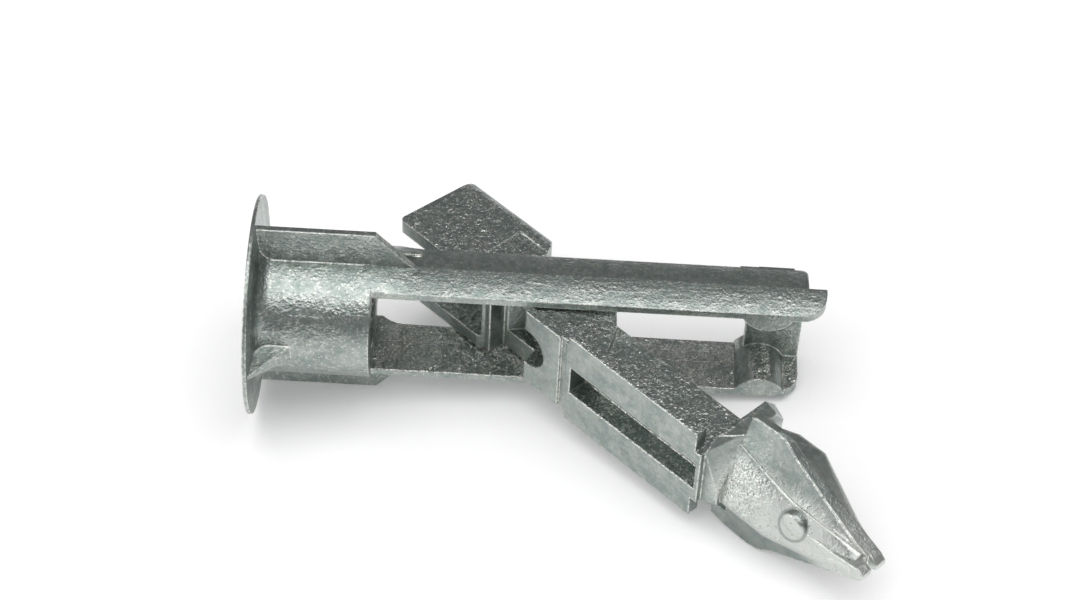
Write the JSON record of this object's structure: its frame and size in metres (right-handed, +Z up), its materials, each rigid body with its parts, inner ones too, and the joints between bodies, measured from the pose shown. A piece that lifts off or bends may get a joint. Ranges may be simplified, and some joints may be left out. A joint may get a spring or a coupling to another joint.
{
  "type": "self-drilling toggle anchor",
  "caption": "Self-drilling toggle anchor for hollow walls: flanged screw collar with fins, two long arms and a pivoting drill-pointed toggle, half open.",
  "frame": {"origin": "on the screw bore's axis at the flange's outer face", "axes": "+X along the anchor towards its tip (the axis dips by the resting pitch), +Z up from the surface it lies on, +Y to the side the tail swings to"},
  "size_m": [0.0407, 0.0307, 0.0146],
  "materials": {
    "cast_zinc": "as-cast zinc alloy, dull grey with bright rubbed edges"
  },
  "bodies": {
    "anchor_body": {"anchor_body": "cast_zinc"},
    "toggle": {"toggle": "cast_zinc"}
  },
  "joints": [
    {"name": "toggle_swing", "type": "hinge", "parent": "anchor_body", "child": "toggle", "pos_m": [0.02017, 0.0004, -0.00192], "axis": [-0.0947, -0.003, -0.9955], "range_deg": [-44, 46]}
  ]
}
